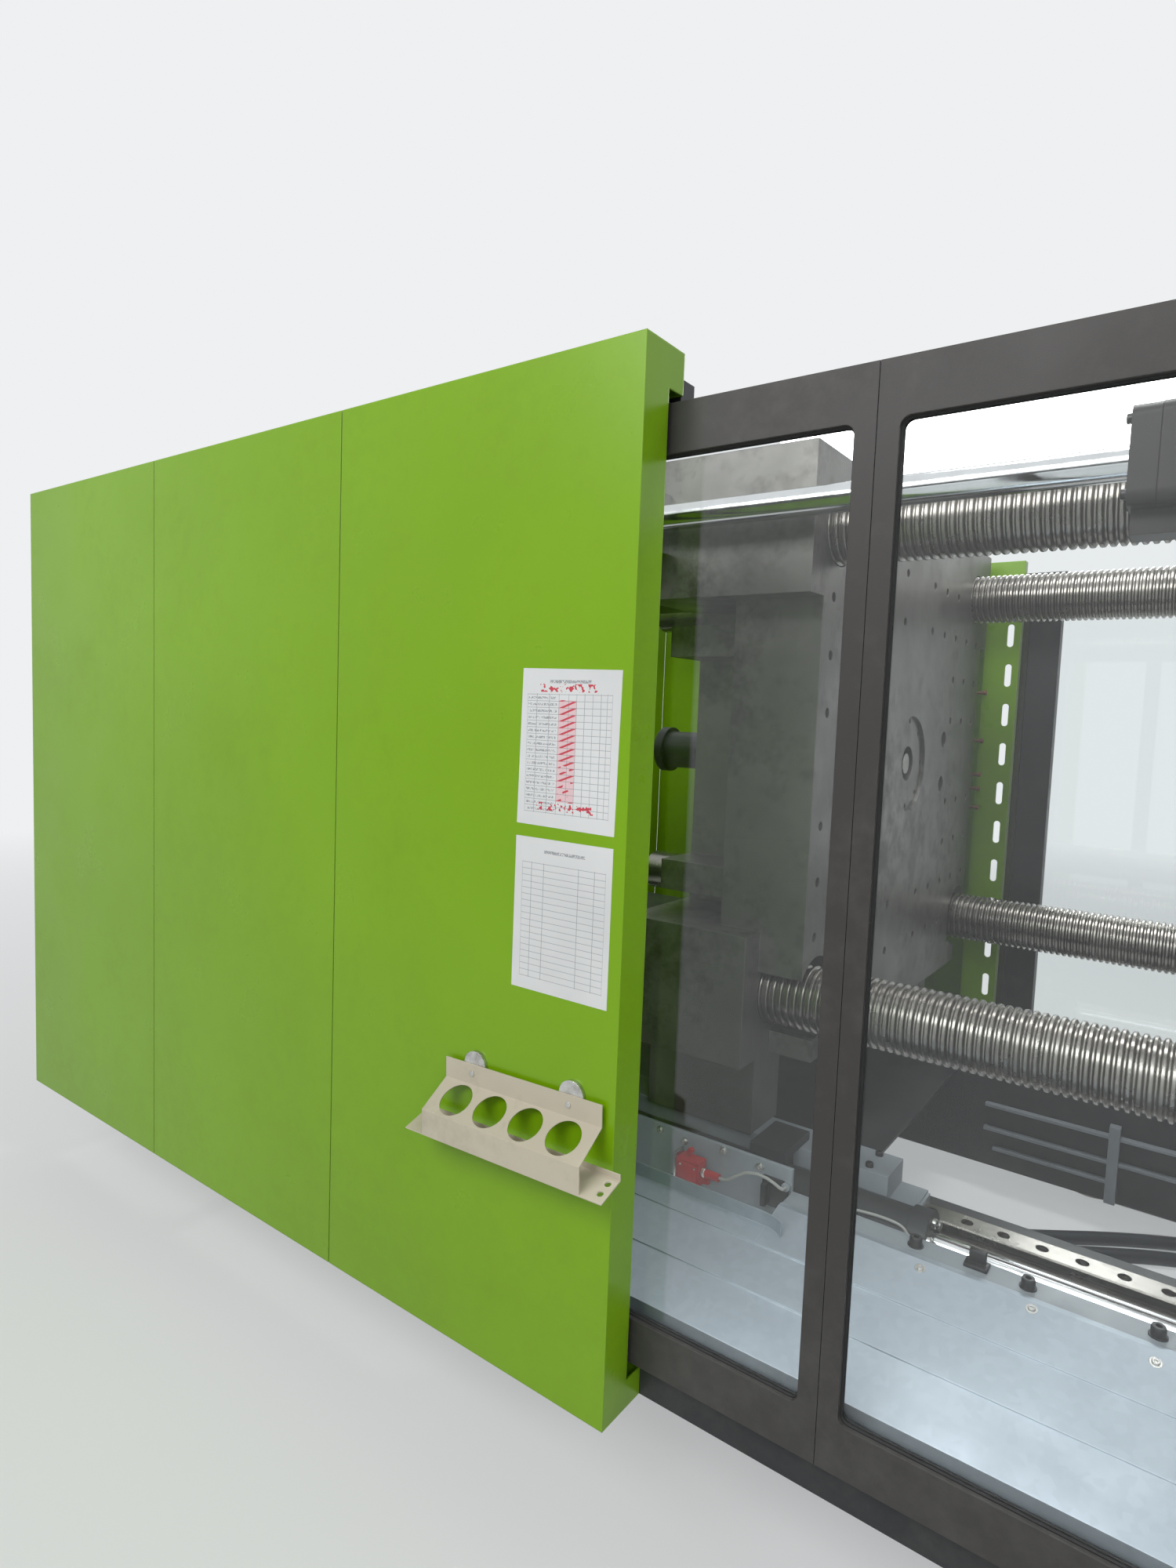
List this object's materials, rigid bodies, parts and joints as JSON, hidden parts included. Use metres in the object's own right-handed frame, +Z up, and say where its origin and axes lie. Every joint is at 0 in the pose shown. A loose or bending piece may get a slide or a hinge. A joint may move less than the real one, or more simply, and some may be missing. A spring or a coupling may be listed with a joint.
{
  "type": "injection moulding machine",
  "caption": "Two-platen injection moulding machine with grooved tie bars, sliding guard doors, a clamp that travels on rails and a hopper-fed injection unit.",
  "frame": {"origin": "floor level, under the centre of the bounding box", "axes": "+X along the machine from the clamp end to the injection unit, +Y from the operator's side to the rear, +Z up"},
  "size_m": [7.87, 2.838, 2.5213],
  "materials": {
    "green_paint": "glossy powder coat",
    "dark_paint": "satin powder coat",
    "black_paint": "satin machine paint",
    "grey_paint": "satin machine paint",
    "platen_steel": "milled, oiled and stained",
    "bar_steel": "turned, oiled",
    "chrome_rod": "ground and hard chromed",
    "galvanised": "zinc coated sheet",
    "hopper_sheet": "brushed stainless sheet",
    "clear_pane": "clear guard pane",
    "screen_glass": "glossy",
    "beige_paint": "worn enamel",
    "magnet_metal": "plated",
    "paper_white": "printed sheet in a sleeve",
    "switch_red": "moulded housing",
    "cable_grey": "cable sheath",
    "hose_rubber": "hose cover",
    "shoe_plastic": "hard plastic"
  },
  "bodies": {
    "machine": {"clamp_bed": "black_paint", "injection_bed": "black_paint", "levelling_feet": "bar_steel", "guide_rails": "bar_steel", "fixed_platen": "platen_steel", "tie_bars": "bar_steel", "tie_bar_nuts": "black_paint", "bed_ledges": "grey_paint", "hose_near": "hose_rubber", "hose_far": "hose_rubber", "upper_cylinder": "dark_paint", "lower_rods": "chrome_rod", "apron": "galvanised", "apron_beam": "grey_paint", "front_cover_left": "green_paint", "front_cover_middle": "green_paint", "front_cover_right": "green_paint", "rear_covers": "green_paint", "end_cover": "green_paint", "front_guard_frame": "black_paint", "rear_guard_frame": "black_paint", "platen_cover": "green_paint", "interlock_switch": "switch_red", "switch_cable": "cable_grey", "can_holder": "beige_paint", "holder_magnets": "magnet_metal", "notice_sheets": "paper_white", "hydraulic_unit": "black_paint", "control_cabinet": "grey_paint", "panel_arm": "black_paint"},
    "front_door": {"door_frame_left": "dark_paint", "door_frame_right": "dark_paint", "door_windows": "clear_pane", "door_handle": "black_paint", "door_shoes": "shoe_plastic"},
    "rear_door": {"rear_door_frame": "dark_paint", "rear_door_window": "clear_pane"},
    "clamp_carriage": {"moving_platen": "platen_steel", "platen_carriages": "grey_paint", "lock_housings": "black_paint", "lower_cylinders": "black_paint", "upper_rod": "chrome_rod", "ejector_cylinder": "black_paint"},
    "near_half_nuts": {"half_nuts_near": "bar_steel"},
    "far_half_nuts": {"half_nuts_far": "bar_steel"},
    "ejector_plate": {"ejector": "bar_steel"},
    "injection_unit": {"injection_carriage": "grey_paint", "barrel": "bar_steel", "heater_bands": "hopper_sheet", "nozzle": "bar_steel", "barrel_guard": "green_paint", "injection_cylinders": "black_paint", "hopper": "hopper_sheet"},
    "screw_drive": {"crosshead": "grey_paint"},
    "plasticizing_screw": {"screw": "bar_steel"},
    "hopper_cover": {"hopper_lid": "hopper_sheet"},
    "operator_panel": {"panel_housing": "dark_paint", "panel_screen": "screen_glass"},
    "stop_button": {"emergency_button": "switch_red"},
    "cabinet_leaf": {"cabinet_door": "grey_paint"}
  },
  "joints": [
    {"name": "front_door_slide", "type": "slide", "parent": "machine", "child": "front_door", "axis": [-1, 0, 0], "range_m": [0, 1.09]},
    {"name": "rear_door_slide", "type": "slide", "parent": "machine", "child": "rear_door", "axis": [-1, 0, 0], "range_m": [0, 0.98]},
    {"name": "clamp_travel", "type": "slide", "parent": "machine", "child": "clamp_carriage", "axis": [1, 0, 0], "range_m": [-0.36, 0.576]},
    {"name": "near_nuts_close", "type": "slide", "parent": "clamp_carriage", "child": "near_half_nuts", "axis": [0, 1, 0], "range_m": [0, 0.034]},
    {"name": "far_nuts_close", "type": "slide", "parent": "clamp_carriage", "child": "far_half_nuts", "axis": [0, 1, 0], "range_m": [-0.034, 0]},
    {"name": "ejector_stroke", "type": "slide", "parent": "clamp_carriage", "child": "ejector_plate", "axis": [1, 0, 0], "range_m": [0, 0.15]},
    {"name": "injection_unit_travel", "type": "slide", "parent": "machine", "child": "injection_unit", "axis": [-1, 0, 0], "range_m": [0, 0.27]},
    {"name": "screw_stroke", "type": "slide", "parent": "injection_unit", "child": "screw_drive", "axis": [1, 0, 0], "range_m": [0, 0.45]},
    {"name": "screw_turn", "type": "hinge", "parent": "screw_drive", "child": "plasticizing_screw", "pos_m": [2.735, 0.324, 1.445], "axis": [1, 0, 0], "continuous": true},
    {"name": "hopper_lid_hinge", "type": "hinge", "parent": "injection_unit", "child": "hopper_cover", "pos_m": [1.815, 0.688, 2.5093], "axis": [-1, 0, 0], "range_deg": [0, 100]},
    {"name": "panel_turn", "type": "hinge", "parent": "machine", "child": "operator_panel", "pos_m": [-0.215, -1.261, 1.73], "axis": [0, 0, 1], "range_deg": [-45, 45]},
    {"name": "stop_button_push", "type": "slide", "parent": "operator_panel", "child": "stop_button", "axis": [0, 1, 0], "range_m": [0, 0.006], "stiffness_N_per_m": 1200},
    {"name": "cabinet_door_hinge", "type": "hinge", "parent": "machine", "child": "cabinet_leaf", "pos_m": [0.677, 1.4, 1], "axis": [0, 0, 1], "range_deg": [0, 110]}
  ],
  "couplings": [
    {"joint": "far_nuts_close", "follows": "near_nuts_close", "ratio": -1}
  ]
}
